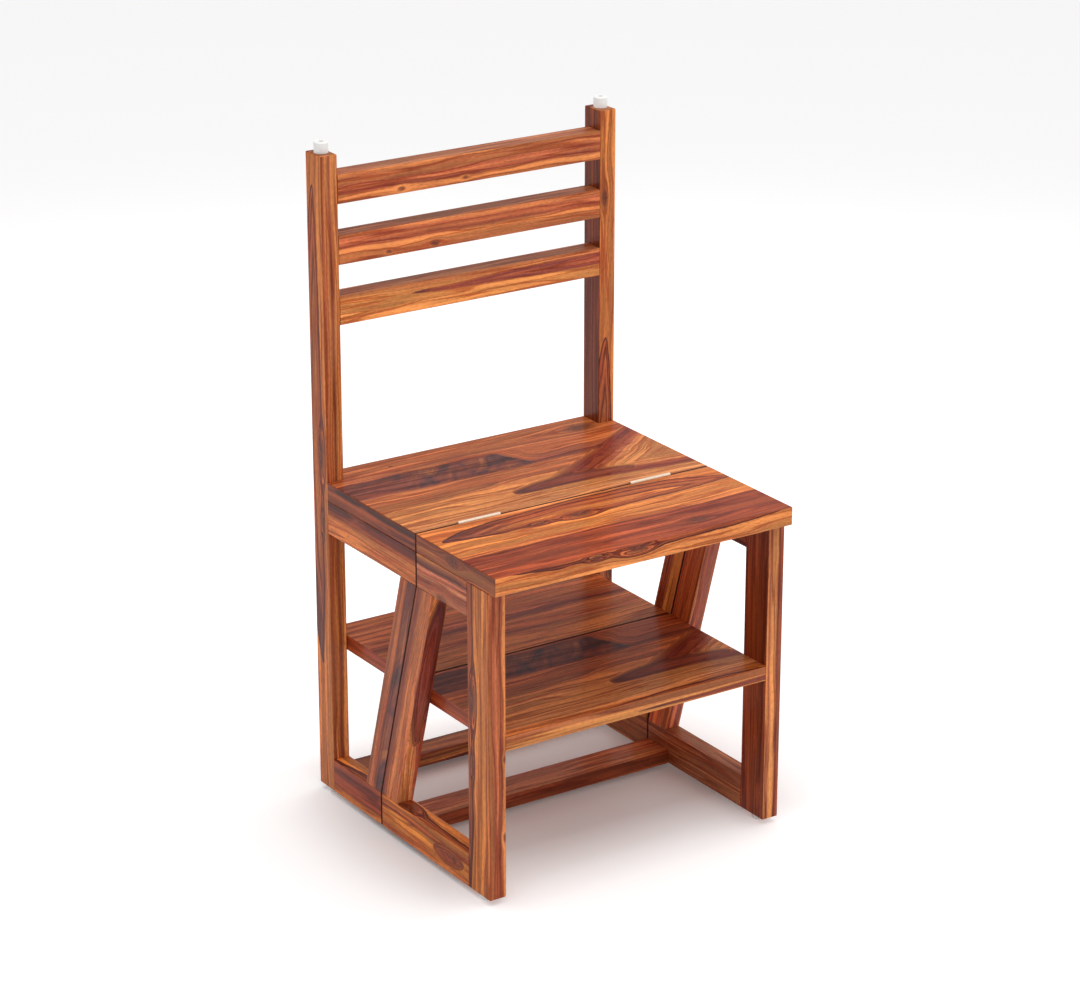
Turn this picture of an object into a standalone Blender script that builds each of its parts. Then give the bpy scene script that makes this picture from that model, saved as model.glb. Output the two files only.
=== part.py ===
"""A library step chair: a hardwood chair whose rear half turns over to the front and makes four steps.

Metres, +Z up. The floor is z = 0, the chair faces -Y, and the origin is under the middle of its outline.
"""

import math

import bmesh
import bpy
from mathutils import Vector

# Driving sizes of the whole chair
OVERALL_WIDTH = 0.458
OVERALL_DEPTH = 0.448
SEAT_TOP = 0.4565
AXIS_ABOVE_SEAT = 0.0005
SPLIT_FROM_BACK = 0.261
SPLIT_RUN = 0.097
SPLIT_GAP = 0.0015

# Timber sections
SIDE_THICKNESS = 0.025
LEG_DEPTH = 0.050
POST_DEPTH = 0.038
RAIL_HEIGHT = 0.047
BRACE_WIDTH = 0.038
SEAT_THICKNESS = 0.025
SEAT_OVERHANG = 0.016
STEP_TOP = 0.2325
STEP_THICKNESS = 0.021
STRETCHER_HEIGHT = 0.020
FRONT_STRETCHER_DEPTH = 0.050
SLAT_HEIGHT = 0.0395
SLAT_THICKNESS = 0.030
SLAT_PITCH = 0.0815
TOP_SLAT_BELOW_POST = 0.027
EDGE_ROUND = 0.0012
EDGE_SEGMENTS = 2

# Clearance between pieces that touch, and how far a cutter runs past a face
FIT_GAP = 0.0003
OVERRUN = 0.002

# Tenons, and the tongues of the step boards
TENON_LENGTH = 0.018
TENON_THICKNESS = 0.008
TENON_HEIGHT = 0.020
TENON_SHOULDER = 0.006
TENON_ROOT = 0.005
BRACE_TENON_LENGTH = 0.012
BRACE_TENON_WIDTH = 0.022
LEG_TENON_LENGTH = 0.012
LEG_TENON_DEPTH = 0.030
CROSS_TENON_LENGTH = 0.010
STRETCHER_SHOULDER = 0.003
SLAT_SHOULDER = 0.010
TONGUE_LENGTH = 0.008
TONGUE_THICKNESS = 0.009
TONGUE_WIDTH = 0.018

# Nylon glides and their nails
GLIDE_RADIUS = 0.0095
GLIDE_CHAMFER = 0.0012
FOOT_GLIDE_HEIGHT = 0.008
TOP_GLIDE_HEIGHT = 0.015
NAIL_SHANK_RADIUS = 0.0012
NAIL_HEAD_RADIUS = 0.0032
NAIL_HEAD_HEIGHT = 0.0010
NAIL_HOLD = 0.014
NAIL_TIP_LENGTH = 0.002
NAIL_TIP_RADIUS = 0.0003
NAIL_SINK = 0.0025
GLIDE_SIDES = 24
NAIL_SIDES = 10

# Butt hinges
HINGE_LENGTH = 0.064
HINGE_FROM_SIDE = 0.095
BARREL_RADIUS = 0.00275
PIN_RADIUS = 0.00125
PIN_CHAMFER = 0.0003
KNUCKLES = 5
KNUCKLE_GAP = 0.0003
LEAF_THICKNESS = 0.0016
LEAF_HEIGHT = 0.0175
BARREL_CLEARANCE = 0.0004
LEAF_ROOT = 0.0006
BARREL_SIDES = 16

# Countersunk screws of the hinges
SCREWS_PER_LEAF = 3
SCREW_END_MARGIN = 0.010
SCREW_HEAD_RADIUS = 0.0026
SCREW_HEAD_HEIGHT = 0.0013
SCREW_SHANK_RADIUS = 0.0013
SCREW_LENGTH = 0.014
SCREW_TIP_LENGTH = 0.003
SCREW_TIP_RADIUS = 0.0003
SCREW_SLOT_WIDTH = 0.0007
SCREW_SLOT_DEPTH = 0.0006
SCREW_SIDES = 12

# Levels and places that follow from the sizes above
HINGE_AXIS_Z = SEAT_TOP + AXIS_ABOVE_SEAT
WOOD_BOTTOM = FOOT_GLIDE_HEIGHT
RAIL_TOP = WOOD_BOTTOM + RAIL_HEIGHT
SEAT_UNDERSIDE = SEAT_TOP - SEAT_THICKNESS
APRON_TOP = SEAT_UNDERSIDE - FIT_GAP
APRON_BOTTOM = APRON_TOP - RAIL_HEIGHT
POST_TOP = 2 * HINGE_AXIS_Z - TOP_GLIDE_HEIGHT
STEP_UNDERSIDE = STEP_TOP - STEP_THICKNESS
HALF_WIDTH = OVERALL_WIDTH / 2
INNER_X = HALF_WIDTH - SIDE_THICKNESS
MIDDLE_X = HALF_WIDTH - SIDE_THICKNESS / 2
SEAT_FRONT = -OVERALL_DEPTH / 2
POST_BACK = OVERALL_DEPTH / 2
POST_FRONT = POST_BACK - POST_DEPTH
POST_MIDDLE = POST_BACK - POST_DEPTH / 2
LEG_FRONT = SEAT_FRONT + SEAT_OVERHANG
LEG_BACK = LEG_FRONT + LEG_DEPTH
LEG_MIDDLE = LEG_FRONT + LEG_DEPTH / 2
SPLIT_Y = POST_BACK - SPLIT_FROM_BACK
SPLIT_FOOT_Y = SPLIT_Y + SPLIT_RUN
HALF_GAP = SPLIT_GAP / 2
BRACE_RISE = APRON_BOTTOM - RAIL_TOP
BRACE_SPAN = BRACE_WIDTH / math.cos(math.atan2(SPLIT_RUN, BRACE_RISE))
SIDES = {"left": -1, "right": 1}

# Surfaces: colour, roughness and metallic value
WOOD_COLOUR = (0.42, 0.15, 0.06)
DARK_WOOD_COLOUR = (0.20, 0.07, 0.04)
STEEL_COLOUR = (0.66, 0.65, 0.62)
NYLON_COLOUR = (0.86, 0.86, 0.84)
WOOD_ROUGHNESS = 0.38
STEEL_ROUGHNESS = 0.30
NYLON_ROUGHNESS = 0.45
SMOOTH_ANGLE = math.radians(35)


def clear_scene():
    for obj in list(bpy.data.objects):
        bpy.data.objects.remove(obj)


def surface(name, colour, roughness, metallic=0.0):
    material = bpy.data.materials.new(name)
    material.use_nodes = True
    shader = material.node_tree.nodes["Principled BSDF"]
    shader.inputs["Base Color"].default_value = (*colour, 1.0)
    shader.inputs["Roughness"].default_value = roughness
    shader.inputs["Metallic"].default_value = metallic
    return material


def body(name, place):
    """An empty that carries every piece of one moving half."""
    empty = bpy.data.objects.new(name, None)
    empty.location = place
    bpy.context.scene.collection.objects.link(empty)
    return empty


def place_piece(name, shape, material, parent, smooth=False):
    """Turns world-space geometry into an object whose origin is the middle of its own outline."""
    corners = [vertex.co for vertex in shape.verts]
    low = Vector(min(corner[i] for corner in corners) for i in range(3))
    high = Vector(max(corner[i] for corner in corners) for i in range(3))
    middle = (low + high) / 2
    bmesh.ops.translate(shape, vec=-middle, verts=shape.verts)
    bmesh.ops.recalc_face_normals(shape, faces=shape.faces)
    mesh = bpy.data.meshes.new(name)
    shape.to_mesh(mesh)
    shape.free()
    if smooth:
        mesh.shade_smooth()
        mesh.set_sharp_from_angle(angle=SMOOTH_ANGLE)
    mesh.materials.append(material)
    obj = bpy.data.objects.new(name, mesh)
    obj.parent = parent
    obj.location = middle - parent.location
    bpy.context.scene.collection.objects.link(obj)
    return obj


def helper(name, shape, parent):
    """A hidden solid that a Boolean reads."""
    obj = place_piece(name, shape, bpy.data.materials["helper"], parent)
    obj.hide_render = True
    obj.display_type = "WIRE"
    return obj


def combine(target, other, operation):
    modifier = target.modifiers.new(other.name, "BOOLEAN")
    modifier.operation = operation
    modifier.solver = "EXACT"
    modifier.object = other


def extruded(outline, axis, low, high):
    """A flat outline in the two other axes, in their XYZ order, pulled from low to high along one axis."""
    shape = bmesh.new()
    corners = []
    for first, second in outline:
        point = [first, second]
        point.insert(axis, low)
        corners.append(shape.verts.new(point))
    face = shape.faces.new(corners)
    pulled = bmesh.ops.extrude_face_region(shape, geom=[face])["geom"]
    moved = [item for item in pulled if isinstance(item, bmesh.types.BMVert)]
    step = Vector((0.0, 0.0, 0.0))
    step[axis] = high - low
    bmesh.ops.translate(shape, vec=step, verts=moved)
    return shape


def box(low, high):
    outline = [(low[0], low[1]), (high[0], low[1]), (high[0], high[1]), (low[0], high[1])]
    return extruded(outline, 2, low[2], high[2])


def ease_edges(shape, butts=()):
    """Rounds the arrises by hand-sanding width, but not round the end faces that butt on a neighbour.

    Each butt is an axis number and the value of that end's plane.
    """
    def on_butt(edge):
        return any(
            all(abs(vertex.co[axis] - value) < FIT_GAP for vertex in edge.verts)
            for axis, value in butts
        )

    edges = [edge for edge in shape.edges if not on_butt(edge)]
    bmesh.ops.bevel(
        shape,
        geom=edges,
        offset=EDGE_ROUND,
        segments=EDGE_SEGMENTS,
        profile=0.5,
        affect="EDGES",
        clamp_overlap=True,
    )
    return shape


def turned(profile, centre, direction, sides, hollow=False):
    """A turned solid. The profile is (radius, distance along the direction) from one end to the other."""
    shape = bmesh.new()
    along = Vector(direction)
    first = along.orthogonal().normalized()
    second = along.cross(first)
    rings = []
    for radius, distance in profile:
        ring = []
        for number in range(sides):
            angle = 2 * math.pi * number / sides
            spoke = first * math.cos(angle) + second * math.sin(angle)
            ring.append(shape.verts.new(Vector(centre) + along * distance + spoke * radius))
        rings.append(ring)
    pairs = list(zip(rings, rings[1:]))
    if hollow:
        pairs.append((rings[-1], rings[0]))
    else:
        shape.faces.new(rings[0])
        shape.faces.new(rings[-1])
    for here, there in pairs:
        for number in range(sides):
            after = (number + 1) % sides
            shape.faces.new((here[number], here[after], there[after], there[number]))
    return shape


def tenon(member, host, low, high, axis, outward):
    """A peg on the member from its shoulder outwards, and the mortise in the host that takes it.

    Low and high are the corners of the peg outside the member.
    """
    root_low, root_high = list(low), list(high)
    hole_low = [value - FIT_GAP for value in low]
    hole_high = [value + FIT_GAP for value in high]
    if outward > 0:
        root_low[axis] -= TENON_ROOT
        hole_low[axis] -= OVERRUN
    else:
        root_high[axis] += TENON_ROOT
        hole_high[axis] += OVERRUN
    peg = helper(f"{member.name}_peg_for_{host.name}", box(root_low, root_high), member.parent)
    hole = helper(f"{host.name}_mortise_for_{member.name}", box(hole_low, hole_high), host.parent)
    combine(member, peg, "UNION")
    combine(host, hole, "DIFFERENCE")


def split_y_at(height):
    """Where the slanted split lies at a height between the bottom rail and the apron."""
    return SPLIT_Y + SPLIT_RUN * (APRON_BOTTOM - height) / BRACE_RISE


def span_x(side):
    return sorted((side * INNER_X, side * HALF_WIDTH))


def upright(name, side, front, back, top, parent, material):
    low_x, high_x = span_x(side)
    shape = box((low_x, front, WOOD_BOTTOM), (high_x, back, top))
    return place_piece(name, ease_edges(shape), material, parent)


def side_rail(name, side, front, back, bottom, butt_ends, parent, material):
    """A short rail of a side frame, cut square where it butts on a leg or a post."""
    low_x, high_x = span_x(side)
    shape = box((low_x, front, bottom), (high_x, back, bottom + RAIL_HEIGHT))
    return place_piece(name, ease_edges(shape, [(1, end) for end in butt_ends]), material, parent)


def brace(name, side, facing, parent, material):
    """A slanted post along the split: facing is -1 in front of the split and +1 behind it."""
    bottom = RAIL_TOP + FIT_GAP
    top = APRON_BOTTOM - FIT_GAP
    near_bottom = split_y_at(bottom) + facing * HALF_GAP
    near_top = split_y_at(top) + facing * HALF_GAP
    outline = [
        (near_bottom, bottom),
        (near_bottom + facing * BRACE_SPAN, bottom),
        (near_top + facing * BRACE_SPAN, top),
        (near_top, top),
    ]
    shape = extruded(outline, 0, *span_x(side))
    return place_piece(name, ease_edges(shape, [(2, bottom), (2, top)]), material, parent)


def brace_middle(height, facing):
    return split_y_at(height) + facing * (HALF_GAP + BRACE_SPAN / 2)


def side_tenons(rail, upright_post, end, outward, bottom):
    """The rail's tenon into its leg or post, held high enough to clear a stretcher's."""
    middle = math.copysign(MIDDLE_X, rail.location.x)
    near = end + outward * TENON_LENGTH
    low_y, high_y = sorted((end, near))
    top = bottom + RAIL_HEIGHT - TENON_SHOULDER
    low = (middle - TENON_THICKNESS / 2, low_y, top - TENON_HEIGHT)
    high = (middle + TENON_THICKNESS / 2, high_y, top)
    tenon(rail, upright_post, low, high, 1, outward)


def brace_tenons(slanted, rail, apron, facing):
    """Stub tenons at both ends of a slanted post."""
    middle_x = math.copysign(MIDDLE_X, slanted.location.x)
    half_x = TENON_THICKNESS / 2
    half_y = BRACE_TENON_WIDTH / 2
    bottom = RAIL_TOP + FIT_GAP
    top = APRON_BOTTOM - FIT_GAP
    low_y = brace_middle(bottom, facing)
    high_y = brace_middle(top, facing)
    tenon(
        slanted, rail,
        (middle_x - half_x, low_y - half_y, bottom - BRACE_TENON_LENGTH),
        (middle_x + half_x, low_y + half_y, bottom),
        2, -1,
    )
    tenon(
        slanted, apron,
        (middle_x - half_x, high_y - half_y, top),
        (middle_x + half_x, high_y + half_y, top + BRACE_TENON_LENGTH),
        2, 1,
    )


def cross_tenons(member, hosts, length, low_y, high_y, low_z, high_z):
    """A tenon or tongue at both ends of a cross member, into the side frames."""
    end = INNER_X - FIT_GAP
    for name, side in SIDES.items():
        low_x, high_x = sorted((side * end, side * (end + length)))
        tenon(member, hosts[name], (low_x, low_y, low_z), (high_x, high_y, high_z), 0, side)


def cross_piece(name, front, back, bottom, top, parent, material):
    """A bar or board between the inner faces of the side frames."""
    end = INNER_X - FIT_GAP
    shape = box((-end, front, bottom), (end, back, top))
    return place_piece(name, ease_edges(shape, [(0, -end), (0, end)]), material, parent)


def side_frame(name, side, front_half, rear_half, wood):
    """All the pieces of one side frame, with their joints cut."""
    leg_top = SEAT_UNDERSIDE - FIT_GAP
    parts = {
        "leg": upright(f"front_leg_{name}", side, LEG_FRONT, LEG_BACK, leg_top, front_half, wood),
        "post": upright(f"rear_post_{name}", side, POST_FRONT, POST_BACK, POST_TOP, rear_half, wood),
    }
    leg_end = LEG_BACK + FIT_GAP
    post_end = POST_FRONT - FIT_GAP
    levels = {"apron": (APRON_BOTTOM, SPLIT_Y), "floor_rail": (WOOD_BOTTOM, SPLIT_FOOT_Y)}
    for kind, (bottom, split) in levels.items():
        front = side_rail(
            f"front_{kind}_{name}", side, leg_end, split - HALF_GAP, bottom, [leg_end], front_half, wood
        )
        rear = side_rail(
            f"rear_{kind}_{name}", side, split + HALF_GAP, post_end, bottom, [post_end], rear_half, wood
        )
        side_tenons(front, parts["leg"], leg_end, -1, bottom)
        side_tenons(rear, parts["post"], post_end, 1, bottom)
        parts[f"front_{kind}"] = front
        parts[f"rear_{kind}"] = rear
    for half, facing, parent in (("front", -1, front_half), ("rear", 1, rear_half)):
        slanted = brace(f"{half}_brace_{name}", side, facing, parent, wood)
        brace_tenons(slanted, parts[f"{half}_floor_rail"], parts[f"{half}_apron"], facing)
        parts[f"{half}_brace"] = slanted
    return parts


def seat_boards(frames, front_half, rear_half, wood):
    """Both halves of the seat: the front one on the legs, the rear one notched round the posts."""
    low = (-HALF_WIDTH, SEAT_FRONT, SEAT_UNDERSIDE)
    high = (HALF_WIDTH, SPLIT_Y - HALF_GAP, SEAT_TOP)
    front = place_piece("front_seat_board", ease_edges(box(low, high)), wood, front_half)
    notch_x = INNER_X - FIT_GAP
    notch_y = POST_FRONT - FIT_GAP
    near = SPLIT_Y + HALF_GAP
    outline = [
        (-HALF_WIDTH, near), (HALF_WIDTH, near), (HALF_WIDTH, notch_y), (notch_x, notch_y),
        (notch_x, POST_BACK), (-notch_x, POST_BACK), (-notch_x, notch_y), (-HALF_WIDTH, notch_y),
    ]
    shape = extruded(outline, 2, SEAT_UNDERSIDE, SEAT_TOP)
    butts = [(1, notch_y), (0, notch_x), (0, -notch_x)]
    rear = place_piece("rear_seat_board", ease_edges(shape, butts), wood, rear_half)
    for name, side in SIDES.items():
        leg = frames[name]["leg"]
        top = SEAT_UNDERSIDE - FIT_GAP
        middle = side * MIDDLE_X
        low = (middle - TENON_THICKNESS / 2, LEG_MIDDLE - LEG_TENON_DEPTH / 2, top)
        high = (middle + TENON_THICKNESS / 2, LEG_MIDDLE + LEG_TENON_DEPTH / 2, top + LEG_TENON_LENGTH)
        tenon(leg, front, low, high, 2, 1)
    return {"front": front, "rear": rear}


def step_boards(frames, front_half, rear_half, wood):
    """The step's two halves, each with tongues into the upright and the slanted post beside it."""
    split = split_y_at(STEP_UNDERSIDE)
    middle_z = (STEP_TOP + STEP_UNDERSIDE) / 2
    low_z = middle_z - TONGUE_THICKNESS / 2
    high_z = middle_z + TONGUE_THICKNESS / 2
    boards = (
        ("front", LEG_FRONT, split - HALF_GAP, "leg", LEG_MIDDLE, -1, front_half),
        ("rear", split + HALF_GAP, POST_BACK, "post", POST_MIDDLE, 1, rear_half),
    )
    for half, front, back, stand, stand_y, facing, parent in boards:
        board = cross_piece(f"{half}_step_board", front, back, STEP_UNDERSIDE, STEP_TOP, parent, wood)
        hosts = {stand: stand_y, f"{half}_brace": brace_middle(middle_z, facing) + facing * FIT_GAP}
        for host, middle_y in hosts.items():
            ends = {name: frame[host] for name, frame in frames.items()}
            low_y = middle_y - TONGUE_WIDTH / 2
            cross_tenons(board, ends, TONGUE_LENGTH, low_y, low_y + TONGUE_WIDTH, low_z, high_z)


def stretchers(frames, front_half, rear_half, wood):
    """Flat cross bars at the floor: one along the foot of the split, one between the posts."""
    split = SPLIT_FOOT_Y - HALF_GAP
    bars = (
        ("front", split - FRONT_STRETCHER_DEPTH, split, "front_floor_rail", front_half),
        ("rear", POST_FRONT, POST_BACK, "post", rear_half),
    )
    top = WOOD_BOTTOM + STRETCHER_HEIGHT
    for half, front, back, host, parent in bars:
        bar = cross_piece(f"{half}_stretcher", front, back, WOOD_BOTTOM, top, parent, wood)
        ends = {name: frame[host] for name, frame in frames.items()}
        cross_tenons(
            bar, ends, CROSS_TENON_LENGTH,
            front + TENON_SHOULDER, back - TENON_SHOULDER,
            WOOD_BOTTOM + STRETCHER_SHOULDER, top - STRETCHER_SHOULDER,
        )


def back_slats(frames, rear_half, wood):
    """Three bars of the back, flush with the front of the posts."""
    posts = {name: frame["post"] for name, frame in frames.items()}
    for number, name in enumerate(("top", "middle", "bottom")):
        top = POST_TOP - TOP_SLAT_BELOW_POST - number * SLAT_PITCH
        bottom = top - SLAT_HEIGHT
        slat = cross_piece(
            f"back_slat_{name}", POST_FRONT, POST_FRONT + SLAT_THICKNESS, bottom, top, rear_half, wood
        )
        cross_tenons(
            slat, posts, CROSS_TENON_LENGTH,
            POST_FRONT + SLAT_SHOULDER, POST_FRONT + SLAT_THICKNESS - SLAT_SHOULDER,
            bottom + SLAT_SHOULDER, top - SLAT_SHOULDER,
        )


def glide(label, host, base, height, outward, nylon, steel):
    """A nylon glide on an end of a leg or post, and the nail that holds it.

    Label is which end and which side, and base is the middle of the timber's end face.
    """
    end, side = label
    seat = base + Vector((0.0, 0.0, outward * FIT_GAP))
    direction = (0.0, 0.0, outward)
    thick = height - FIT_GAP
    bore = NAIL_SHANK_RADIUS + FIT_GAP
    well = NAIL_HEAD_RADIUS + FIT_GAP
    well_floor = thick - NAIL_SINK - NAIL_HEAD_HEIGHT - FIT_GAP
    profile = [
        (bore, 0.0), (GLIDE_RADIUS, 0.0), (GLIDE_RADIUS, thick - GLIDE_CHAMFER),
        (GLIDE_RADIUS - GLIDE_CHAMFER, thick), (well, thick), (well, well_floor), (bore, well_floor),
    ]
    disc = turned(profile, seat, direction, GLIDE_SIDES, hollow=True)
    place_piece(f"{end}_glide_{side}", disc, nylon, host.parent, smooth=True)
    head_top = thick - NAIL_SINK
    head_base = head_top - NAIL_HEAD_HEIGHT
    tip = -NAIL_HOLD
    nail = [
        (NAIL_TIP_RADIUS, tip), (NAIL_SHANK_RADIUS, tip + NAIL_TIP_LENGTH), (NAIL_SHANK_RADIUS, head_base),
        (NAIL_HEAD_RADIUS, head_base), (NAIL_HEAD_RADIUS, head_top),
    ]
    nail_name = f"{end}_glide_nail_{side}"
    place_piece(nail_name, turned(nail, seat, direction, NAIL_SIDES), steel, host.parent, smooth=True)
    pilot = [(bore, tip - FIT_GAP), (bore, OVERRUN)]
    hole = turned(pilot, seat, direction, NAIL_SIDES)
    combine(host, helper(f"{host.name}_for_{nail_name}", hole, host.parent), "DIFFERENCE")


def glides(frames, nylon, steel):
    for name, side in SIDES.items():
        middle = side * MIDDLE_X
        feet = (
            ("front", frames[name]["leg"], LEG_MIDDLE, WOOD_BOTTOM, FOOT_GLIDE_HEIGHT, -1),
            ("rear", frames[name]["post"], POST_MIDDLE, WOOD_BOTTOM, FOOT_GLIDE_HEIGHT, -1),
            ("top", frames[name]["post"], POST_MIDDLE, POST_TOP, TOP_GLIDE_HEIGHT, 1),
        )
        for end, host, middle_y, level, height, outward in feet:
            base = Vector((middle, middle_y, level))
            glide((end, name), host, base, height, outward, nylon, steel)


def knuckle(middle, number):
    """The X range of one knuckle of a hinge, counted from its left end."""
    pitch = HINGE_LENGTH / KNUCKLES
    start = middle - HINGE_LENGTH / 2 + number * pitch
    return start + KNUCKLE_GAP / 2, start + pitch - KNUCKLE_GAP / 2


def leaf_outline(middle, own_knuckles):
    """The leaf from the split side: tabs rise into its own knuckles and clear the other leaf's."""
    low = HINGE_AXIS_Z - BARREL_RADIUS - BARREL_CLEARANCE
    high = HINGE_AXIS_Z - BARREL_RADIUS + LEAF_ROOT
    bottom = low - LEAF_HEIGHT
    start = knuckle(middle, 0)[0]
    end = knuckle(middle, KNUCKLES - 1)[1]
    corners = [(start, bottom), (start, low)]
    for low_x, high_x in own_knuckles:
        corners += [(low_x, low), (low_x, high), (high_x, high), (high_x, low)]
    corners += [(end, low), (end, bottom)]
    return list(dict.fromkeys(corners))


def barrel(name, own_knuckles, parent):
    """The knuckles of one leaf, each a short tube on the hinge axis, as one hidden solid."""
    bore = PIN_RADIUS + FIT_GAP
    knuckles = bmesh.new()
    for low_x, high_x in own_knuckles:
        length = high_x - low_x
        ring = [(bore, 0.0), (BARREL_RADIUS, 0.0), (BARREL_RADIUS, length), (bore, length)]
        tube = turned(ring, (low_x, SPLIT_Y, HINGE_AXIS_Z), (1.0, 0.0, 0.0), BARREL_SIDES, hollow=True)
        mesh = bpy.data.meshes.new(f"{name}_knuckle")
        tube.to_mesh(mesh)
        tube.free()
        knuckles.from_mesh(mesh)
        bpy.data.meshes.remove(mesh)
    return helper(f"{name}_barrel", knuckles, parent)


def screw(name, place, facing, parent, steel):
    """A slotted countersunk screw. Place is the middle of the head's face, which looks across the split."""
    profile = [
        (SCREW_HEAD_RADIUS, 0.0),
        (SCREW_SHANK_RADIUS, SCREW_HEAD_HEIGHT),
        (SCREW_SHANK_RADIUS, SCREW_LENGTH - SCREW_TIP_LENGTH),
        (SCREW_TIP_RADIUS, SCREW_LENGTH),
    ]
    body_shape = turned(profile, place, (0.0, facing, 0.0), SCREW_SIDES)
    obj = place_piece(name, body_shape, steel, parent, smooth=True)
    reach = SCREW_HEAD_RADIUS + OVERRUN
    low_y, high_y = sorted((place[1] - facing * OVERRUN, place[1] + facing * SCREW_SLOT_DEPTH))
    slot = box(
        (place[0] - reach, low_y, place[2] - SCREW_SLOT_WIDTH / 2),
        (place[0] + reach, high_y, place[2] + SCREW_SLOT_WIDTH / 2),
    )
    combine(obj, helper(f"{name}_slot", slot, parent), "DIFFERENCE")


def cut_screw_seats(leaf, board, name, place, facing):
    """The countersunk hole in the leaf and the pilot hole in the board."""
    head = SCREW_HEAD_RADIUS + FIT_GAP
    shank = SCREW_SHANK_RADIUS + FIT_GAP
    run_out = head + (head - shank) * OVERRUN / SCREW_HEAD_HEIGHT
    countersink = [(run_out, -OVERRUN), (shank, SCREW_HEAD_HEIGHT), (shank, SCREW_HEAD_HEIGHT + OVERRUN)]
    pilot = [(shank, -OVERRUN), (shank, SCREW_LENGTH + FIT_GAP)]
    direction = (0.0, facing, 0.0)
    for target, profile in ((leaf, countersink), (board, pilot)):
        hole = turned(profile, place, direction, SCREW_SIDES)
        combine(target, helper(f"{target.name}_for_{name}", hole, target.parent), "DIFFERENCE")


def hinge_leaf(label, half, middle, facing, board, steel):
    """One leaf with its knuckles, let into a seat board's facing edge and screwed there."""
    parent = board.parent
    first = 0 if facing < 0 else 1
    own = [knuckle(middle, number) for number in range(first, KNUCKLES, 2)]
    near = SPLIT_Y + facing * FIT_GAP
    far = near + facing * LEAF_THICKNESS
    low_y, high_y = sorted((near, far))
    name = f"{label}_{half}_leaf"
    leaf = place_piece(name, extruded(leaf_outline(middle, own), 1, low_y, high_y), steel, parent)
    combine(leaf, barrel(name, own, parent), "UNION")
    start = middle - HINGE_LENGTH / 2 - FIT_GAP
    end = middle + HINGE_LENGTH / 2 + FIT_GAP
    leaf_bottom = HINGE_AXIS_Z - BARREL_RADIUS - BARREL_CLEARANCE - LEAF_HEIGHT
    board_top = SEAT_TOP + OVERRUN
    pocket_y = sorted((SPLIT_Y, far + facing * FIT_GAP))
    groove_y = sorted((SPLIT_Y, SPLIT_Y + facing * (BARREL_RADIUS + BARREL_CLEARANCE)))
    groove_bottom = HINGE_AXIS_Z - BARREL_RADIUS - BARREL_CLEARANCE
    pocket = box((start, pocket_y[0], leaf_bottom - FIT_GAP), (end, pocket_y[1], board_top))
    groove = box((start, groove_y[0], groove_bottom), (end, groove_y[1], board_top))
    combine(board, helper(f"{name}_pocket", pocket, parent), "DIFFERENCE")
    combine(board, helper(f"{name}_groove", groove, parent), "DIFFERENCE")
    screw_z = leaf_bottom + LEAF_HEIGHT / 2
    first_x = middle - HINGE_LENGTH / 2 + SCREW_END_MARGIN
    pitch = (HINGE_LENGTH - 2 * SCREW_END_MARGIN) / (SCREWS_PER_LEAF - 1)
    for number in range(SCREWS_PER_LEAF):
        place = (first_x + number * pitch, near, screw_z)
        screw_name = f"{label}_{half}_screw_{number + 1}"
        screw(screw_name, place, facing, parent, steel)
        cut_screw_seats(leaf, board, screw_name, place, facing)


def hinges(boards, front_half, steel):
    for name, side in SIDES.items():
        middle = side * (HALF_WIDTH - HINGE_FROM_SIDE)
        label = f"hinge_{name}"
        for half, facing in (("front", -1), ("rear", 1)):
            hinge_leaf(label, half, middle, facing, boards[half], steel)
        start = (middle - HINGE_LENGTH / 2, SPLIT_Y, HINGE_AXIS_Z)
        pin = [
            (PIN_RADIUS - PIN_CHAMFER, 0.0), (PIN_RADIUS, PIN_CHAMFER),
            (PIN_RADIUS, HINGE_LENGTH - PIN_CHAMFER), (PIN_RADIUS - PIN_CHAMFER, HINGE_LENGTH),
        ]
        shape = turned(pin, start, (1.0, 0.0, 0.0), BARREL_SIDES)
        place_piece(f"{label}_pin", shape, steel, front_half, smooth=True)


def main():
    clear_scene()
    wood = surface("oiled_rosewood", WOOD_COLOUR, WOOD_ROUGHNESS)
    dark_wood = surface("dark_rosewood", DARK_WOOD_COLOUR, WOOD_ROUGHNESS)
    steel = surface("nickelled_steel", STEEL_COLOUR, STEEL_ROUGHNESS, metallic=1.0)
    nylon = surface("white_nylon", NYLON_COLOUR, NYLON_ROUGHNESS)
    surface("helper", NYLON_COLOUR, NYLON_ROUGHNESS)
    front_half = body("front_half", Vector((0.0, 0.0, 0.0)))
    rear_half = body("rear_half", Vector((0.0, SPLIT_Y, HINGE_AXIS_Z)))
    frames = {name: side_frame(name, side, front_half, rear_half, wood) for name, side in SIDES.items()}
    boards = seat_boards(frames, front_half, rear_half, wood)
    step_boards(frames, front_half, rear_half, dark_wood)
    stretchers(frames, front_half, rear_half, dark_wood)
    back_slats(frames, rear_half, wood)
    glides(frames, nylon, steel)
    hinges(boards, front_half, steel)


main()
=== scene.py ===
import math

import bmesh
import bpy
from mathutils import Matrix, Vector

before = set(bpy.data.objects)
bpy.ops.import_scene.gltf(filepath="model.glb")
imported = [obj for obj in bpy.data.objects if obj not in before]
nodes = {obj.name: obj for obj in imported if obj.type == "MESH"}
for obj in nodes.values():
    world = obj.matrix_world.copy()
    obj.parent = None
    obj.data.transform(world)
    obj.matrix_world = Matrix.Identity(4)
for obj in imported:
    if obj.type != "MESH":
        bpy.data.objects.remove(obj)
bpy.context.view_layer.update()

mm = 0.001


# small helpers
def linearColour(hexText):
    # sRGB hex to the linear values that the shaders use
    channels = [int(hexText[i:i + 2], 16) / 255 for i in (1, 3, 5)]
    return (*[c / 12.92 if c <= 0.04045 else ((c + 0.055) / 1.055) ** 2.4 for c in channels], 1.0)


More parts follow.
